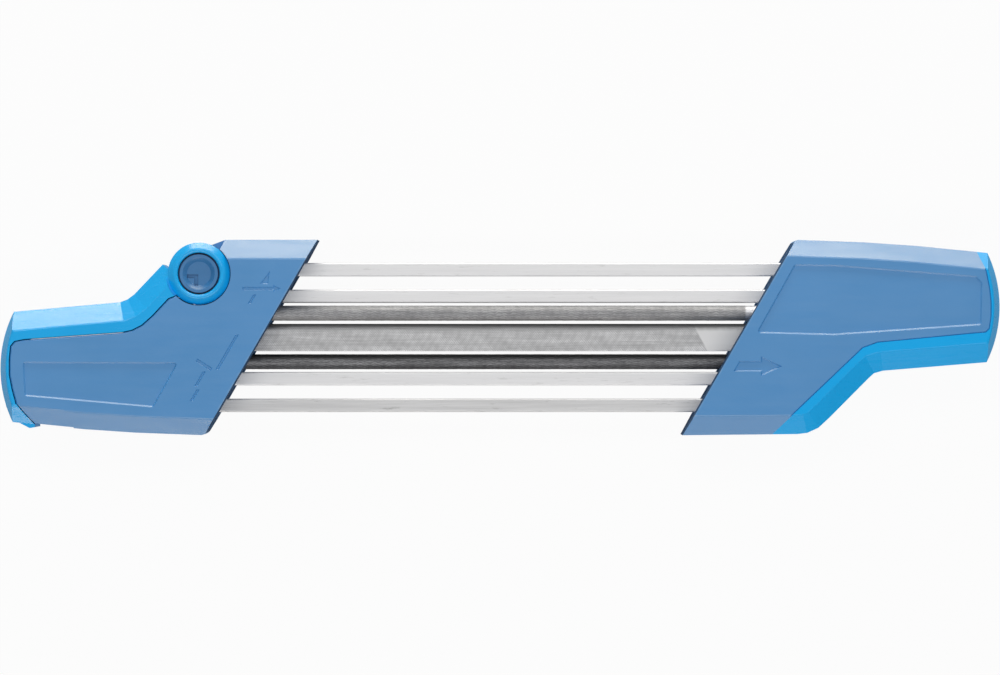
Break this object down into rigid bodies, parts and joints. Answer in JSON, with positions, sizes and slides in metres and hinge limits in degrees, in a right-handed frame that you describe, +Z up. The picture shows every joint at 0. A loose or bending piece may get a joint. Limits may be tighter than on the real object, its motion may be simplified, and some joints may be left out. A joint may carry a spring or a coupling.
{
  "type": "chainsaw file guide",
  "caption": "Chainsaw sharpening guide: round files, a depth gauge file and flat rails between two moulded handles, with a pivoting cover that locks the files.",
  "frame": {"origin": "centre of the bounding box in plan, on the plane of the rear faces that the guide lies on", "axes": "+X along the files towards the fixed handle, +Y across them towards the pivot side, +Z up through the front faces"},
  "size_m": [0.3352, 0.0656, 0.028],
  "materials": {
    "shell_blue": "moulded mid-blue nylon with a fine grain",
    "cover_blue": "moulded bright blue nylon, satin",
    "rail_steel": "bright ground flat steel with fine scratches along the length",
    "file_steel": "hardened file steel with cut teeth",
    "carrier_alloy": "plain die-cast alloy",
    "pin_steel": "turned steel",
    "stop_rubber": "black rubber pad"
  },
  "bodies": {
    "frame": {"left_front_shell": "shell_blue", "left_rear_shell": "shell_blue", "left_rail_carrier": "carrier_alloy", "left_rail_pins": "pin_steel", "outer_rail_upper": "rail_steel", "inner_rail_upper": "rail_steel", "inner_rail_lower": "rail_steel", "outer_rail_lower": "rail_steel", "right_front_shell": "shell_blue", "right_rear_shell": "shell_blue", "right_rail_carrier": "carrier_alloy", "right_rail_pins": "pin_steel", "right_end_trim": "cover_blue", "file_stop": "stop_rubber"},
    "cover": {"locking_cover": "cover_blue", "cover_pivot_pin": "pin_steel", "pivot_button_front": "shell_blue", "pivot_button_rear": "shell_blue"},
    "clamp": {"file_clamp": "pin_steel"},
    "front_round": {"round_file_front": "file_steel"},
    "flat": {"flat_file": "file_steel"},
    "rear_round": {"round_file_rear": "file_steel"}
  },
  "joints": [
    {"name": "cover_hinge", "type": "hinge", "parent": "frame", "child": "cover", "pos_m": [-0.1008, 0.0214, 0.014], "axis": [0, 0, -1], "range_deg": [0, 95]},
    {"name": "clamp_lift", "type": "slide", "parent": "frame", "child": "clamp", "axis": [0, 1, 0], "range_m": [0, 0.000821]},
    {"name": "front_round_slide", "type": "slide", "parent": "frame", "child": "front_round", "axis": [-1, 0, 0], "range_m": [0, 0.017]},
    {"name": "flat_slide", "type": "slide", "parent": "frame", "child": "flat", "axis": [-1, 0, 0], "range_m": [0, 0.054]},
    {"name": "rear_round_slide", "type": "slide", "parent": "frame", "child": "rear_round", "axis": [-1, 0, 0], "range_m": [0, 0.054]}
  ],
  "couplings": [
    {"joint": "clamp_lift", "follows": "cover_hinge", "m_per_rad": 0.00048913}
  ]
}
